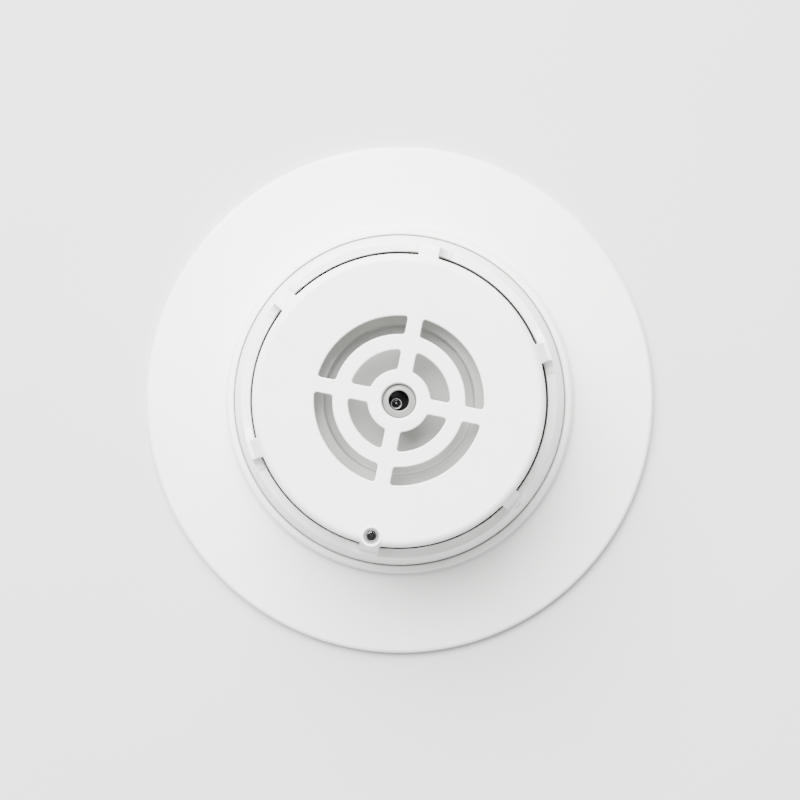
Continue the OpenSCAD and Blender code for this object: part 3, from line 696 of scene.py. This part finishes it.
ring_low, ring_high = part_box("lamp_bezel")
bezel_r = (ring_high.x - ring_low.x) / 2 / MM
bezel_top = ring_high.z / MM
bezel_foot = ring_low.z / MM
bore = lens_r + 0.05
bezel_grey = moulded("grey_polycarbonate", "#747577", "#7E7F81", 0.3, 0.4, 0.4, 0.02)
section = rounded([(bore, bezel_foot), (bezel_r, bezel_foot), (bezel_r, bezel_top), (bore, bezel_top - 0.2)],
                  [0, 0, 0.25, 0.2])
lamp_bezel = ring_at("lamp_bezel", 0, lamp_y, section, 96)
finish_surface(lamp_bezel, bezel_grey)
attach(lamp_bezel, "head")
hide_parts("lamp_bezel")


# ---- Front cover of the head ----
# One white moulding: sloping outer wall, recessed deck, six pillars with a foot on each side, and
# the flat cap with its spoked grille, hub and lamp boss. Every edge is slightly rounded by the tool.

cover_low, cover_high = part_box("front_cover")
# The lamp boss stands this far above the cap's face.
boss_rise = 0.3
cap_h = cover_high.z / MM - boss_rise
cap_r = 41.2
cap_t = 2.0
cap_under = cap_h - 5.6
cap_round = 2.3
deck_z = cap_under - 11.4
deck_t = 1.8
deck_in = cap_r + 1.7
crest_r = head_r - 3
crest_round = 0.6
cover_wall = 1.8
cover_foot = cover_low.z / MM
hub_r = 4.9
chimney_top = cap_h - 2.6

wall_solid = turned("front_cover", (
    [(head_r - cover_wall, cover_foot + 0.2), (head_r, cover_foot + 0.2), (head_r, collar_h + 0.1)]
    + arc(crest_r - crest_round, deck_z - crest_round, crest_round, 12, 90, 8)
    + arc(deck_in + 0.2, deck_z - 0.2, 0.2, 90, 180, 4)
    + [(deck_in, deck_z - deck_t), (crest_r - cover_wall, deck_z - deck_t),
       (head_r - cover_wall, collar_h - 0.9)]))
cap_solid = lathe_at("cap", 0, 0, (
    [(0, cap_h - cap_t), (cap_r - 2.6, cap_h - cap_t)]
    + arc(cap_r - 2.5, cap_h - cap_t - 0.5, 0.5, 90, 0, 4)
    + [(cap_r - 2, cap_under + 0.2), (cap_r - 1.8, cap_under), (cap_r - 0.3, cap_under)]
    + arc(cap_r - 0.3, cap_under + 0.3, 0.3, -80, 0, 4)
    + arc(cap_r - cap_round, cap_h - cap_round, cap_round, 0, 90, 16) + [(0, cap_h)]), 256)
hub_tube = rod("hub_tube", hub_r + 1.5, chimney_top - 0.8, cap_h - 0.5, steps=96)

pillar_half = 2.88
pillar_fillet = 1.0
# The pillars grow out of the sloping side this far below the deck.
blend_h = 5


def side_radius(z):
    """Radius of the head's sloping side at that height, up to the crest."""
    return head_r - (z - collar_h) * (head_r - crest_r) / (deck_z - crest_round - collar_h)


def pillar_level(z):
    """Inner radius, outer radius and half width of a pillar at that height."""
    foot_at = side_radius(deck_z - blend_h)
    up = min(max((z - deck_z + blend_h) / (cap_under - deck_z + blend_h), 0), 1)
    outer = foot_at + (cap_r + 0.12 - foot_at) * (0.78 * up + 0.22 * up * up) + 0.02
    if z < deck_z - blend_h:
        outer = side_radius(z) - 0.05
    if z > cap_h - cap_round:
        outer = cap_r - 1
    lean = min(max((z - deck_z) / (cap_under - deck_z), 0), 1)
    inner = deck_in + 0.2 + (cap_r - 1.7 - deck_in - 0.2) * lean
    if z < deck_z - 1:
        inner = side_radius(z) - 1.2
    spread = 0
    gap = cap_under - z
    if 0 <= gap < pillar_fillet:
        spread = pillar_fillet - math.sqrt(pillar_fillet ** 2 - (pillar_fillet - gap) ** 2)
    elif -0.4 < gap < 0:
        spread = pillar_fillet
    return inner, outer, pillar_half + spread


def pillar_loop(z):
    """Outline of a pillar at that height, with rounded corners."""
    inner, outer, half = pillar_level(z)
    corner = 0.35
    loop = []
    for cx, cy, start in ((outer - corner, -half + corner, -90), (outer - corner, half - corner, 0),
                          (inner + corner, half - corner, 90), (inner + corner, -half + corner, 180)):
        loop += [(x, y, z) for x, y in arc(cx, cy, corner, start, start + 90, 4)]
    return loop


heights = [deck_z - below for below in (6, 4.4, 3, 2, 1.1, 0.9, 0.45, 0.01)]
heights += [deck_z + (cap_under - deck_z) * tenth / 10 for tenth in range(1, 9)]
heights += [cap_under - pillar_fillet + pillar_fillet * math.sin(math.pi / 2 * i / 6) for i in range(6)]
heights += [cap_under - 0.001, cap_under + 0.3, cap_under + 1, cap_under + 2,
            cap_h - cap_round - 0.05, cap_h - cap_round + 0.1]
pillar_count = 6
first_pillar = 30
pillar = loft("pillar", [pillar_loop(z) for z in heights])
pillars = ring_of(pillar, pillar_count, first_pillar, white_abs)

flare_r = 3.7
flare_step = 0.35
flare_edge = 0.25


def flare_top(side):
    """Height of a pillar's flared foot at that distance from the pillar's middle."""
    gap = min(max(abs(side) - pillar_half + 0.15, 0), flare_r)
    return deck_z + flare_step + flare_r - math.sqrt(flare_r ** 2 - (flare_r - gap) ** 2)


reach = pillar_half + flare_r - 0.15
stations = [(-reach, -0.3), (-reach + 0.08, -0.1), (-reach + 0.3, 0)]
stations += [(-reach + flare_r * i / 16, 0) for i in range(2, 16)] + [(-pillar_half + 0.2, 0)]
stations += [(-x, dip) for x, dip in reversed(stations)]
loops = []
for x, dip in stations:
    turn = x / (crest_r - 1.3)
    top = min(flare_top(x), deck_z + 3.2) + dip
    loops.append([polar(r, turn, z) for r, z in (
        (deck_in + 0.05, deck_z - 0.8), (crest_r - 0.2, deck_z - 0.8), (crest_r - 0.2, top - flare_edge),
        (crest_r - 0.2 - flare_edge * 0.3, top - flare_edge * 0.3), (crest_r - 0.2 - flare_edge, top),
        (deck_in + 0.05 + flare_edge, top), (deck_in + 0.05, top - flare_edge))])
foot = loft("foot", loops)
feet = ring_of(foot, pillar_count, first_pillar, white_abs)

lamp_boss_r = 3.1
lamp_boss_top = cap_h + 0.12
lamp_boss = rod("lamp_boss", lamp_boss_r, cap_under, lamp_boss_top, 0, lamp_y, edge=0.35, steps=96)
cover_screw_r = head_r - 5.2
cover_screws = 3
screw_boss = rod("screw_boss", 2.6, cover_foot + 2.7, deck_z - 0.8, cover_screw_r)
screw_bosses = ring_of(screw_boss, cover_screws, 90, white_abs)
combine(wall_solid, [cap_solid, hub_tube, pillars, feet, lamp_boss, screw_bosses], "UNION")

spoke_half = 2.15
window_corner = 0.8
window_edge = 0.4


def window_outline(inner, outer, grow):
    """Rounded outline of the window in the first quarter, grown outwards by that much."""
    inner, outer = inner - grow, outer + grow
    round_r = window_corner + grow
    inset = spoke_half - grow + round_r
    a0, a1 = [math.degrees(math.asin(inset / r)) for r in (inner + round_r, outer - round_r)]
    far = (outer - round_r) * math.cos(math.radians(a1))
    near = (inner + round_r) * math.cos(math.radians(a0))
    return (arc(far, inset, round_r, -90, a1, 6) + arc(0, 0, outer, a1, 90 - a1, 24)[1:]
            + arc(inset, far, round_r, 90 - a1, 180, 6)[1:] + arc(inset, near, round_r, 180, 270 - a0, 6)
            + arc(0, 0, inner, 90 - a0, a0, 24)[1:] + arc(near, inset, round_r, 180 + a0, 270, 6)[1:])


def flared(name, outline, low, high, edge):
    """A cutter that opens out at the top as a rounded edge does."""
    levels = [(low, 0), (high - edge, 0)]
    levels += [(high - edge + edge * math.sin(a), edge * (1 - math.cos(a)))
               for a in [math.pi / 2 * i / 6 for i in range(1, 6)]]
    levels += [(high + 0.02, edge), (high + 1, edge)]
    return loft(name, [[(x, y, z) for x, y in outline(grow)] for z, grow in levels])


def circle_outline(radius, x=0.0, y=0.0):
    """Gives the outline of a circle, grown outwards by what it is asked for."""
    return lambda grow: [(x + (radius + grow) * math.cos(TURN * i / 96),
                          y + (radius + grow) * math.sin(TURN * i / 96)) for i in range(96)]


outer_window = (18.6, 23.8)
inner_window = (8.8, 14.3)
window_count = 4
windows = []
for inner, outer in (outer_window, inner_window):
    cutter = flared("window", lambda grow: window_outline(inner, outer, grow),
                    cap_h - cap_t - 1, cap_h, window_edge)
    windows.append(ring_of(cutter, window_count, 0, white_abs))
hub_cut = flared("hub_cut", circle_outline(hub_r), chimney_top - 2, cap_h, 0.5)
lamp_cut = flared("lamp_cut", circle_outline(bezel_r, 0, lamp_y), cap_h - 4, lamp_boss_top, 0.2)
lamp_well = rod("lamp_well", 2.0, cap_under - 1, cap_h - 3.5, 0, lamp_y)
pilot = rod("pilot", 1.25, cover_foot + 1.7, cover_foot + 10.6, cover_screw_r)
pilots = ring_of(pilot, cover_screws, 90, white_abs)
combine(wall_solid, windows + [hub_cut, lamp_cut, lamp_well, pilots], "DIFFERENCE")
front_cover = finish_surface(wall_solid, white_abs)
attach(front_cover, "head")
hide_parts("front_cover")


# ---- Set: floor, light and camera ----
# A plain pale floor under the part, one large soft light high on the upper left, and an even white
# surround. The camera looks straight at the face, turned a little on its axis.

floor_half = 3
floor_z = -0.0002
floor_mesh = bpy.data.meshes.new("floor")
floor_mesh.from_pydata([(-floor_half, -floor_half, floor_z), (floor_half, -floor_half, floor_z),
                        (floor_half, floor_half, floor_z), (-floor_half, floor_half, floor_z)],
                       [], [(0, 1, 2, 3)])
floor = link("floor", floor_mesh)
floor_paint, tree, place = new_material("pale_floor_paint")
mottle = add(tree, "ShaderNodeTexNoise", inputs={"Vector": place, "Scale": 12.0, "Detail": 3})
surface(tree, add(tree, "ShaderNodeBsdfPrincipled",
                  inputs={"Base Color": two_tone(tree, mottle.outputs["Fac"], "#C9CACB", "#CDCECF"),
                          "Roughness": 0.7}))
floor.data.materials.append(floor_paint)

world = bpy.data.worlds.new("even_surround")
world.use_nodes = True
world.node_tree.nodes.clear()
background = add(world.node_tree, "ShaderNodeBackground",
                 inputs={"Color": linear("#FFFFFF"), "Strength": 0.8})
add(world.node_tree, "ShaderNodeOutputWorld", inputs={"Surface": background.outputs[0]})
bpy.context.scene.world = world

roll = 11.5


def on_set(x, y, z):
    """A place given as seen from the camera (right, up, towards it), turned into the part's frame."""
    c, s = math.cos(math.radians(roll)), math.sin(math.radians(roll))
    return Vector((x * c - y * s, x * s + y * c, z))


def soft_light(name, place, size, power):
    """A round area light at a place seen from the camera, turned towards the part."""
    lamp = bpy.data.lights.new(name, "AREA")
    lamp.shape = "DISK"
    lamp.size = size
    lamp.energy = power
    obj = link(name, lamp)
    obj.location = on_set(*place)
    obj.rotation_mode = "QUATERNION"
    obj.rotation_quaternion = (-obj.location).to_track_quat("-Z", "Y")


soft_light("key_light", (-0.45, 1.12, 1.4), 2.0, 258)

camera = bpy.data.cameras.new("camera")
camera.lens = 89.6
camera.sensor_width = 36
camera.clip_start = 0.01
eye = link("camera", camera)
eye.location = on_set(0.0031, 0.0028, 0.6)
aim = on_set(0.0001, 0, 0.002) - eye.location
right = on_set(1, 0, 0)
back = -aim.normalized()
up = back.cross(right).normalized()
side = up.cross(back).normalized()
eye.rotation_mode = "QUATERNION"
eye.rotation_quaternion = Matrix((side, up, back)).transposed().to_quaternion()
bpy.context.scene.camera = eye
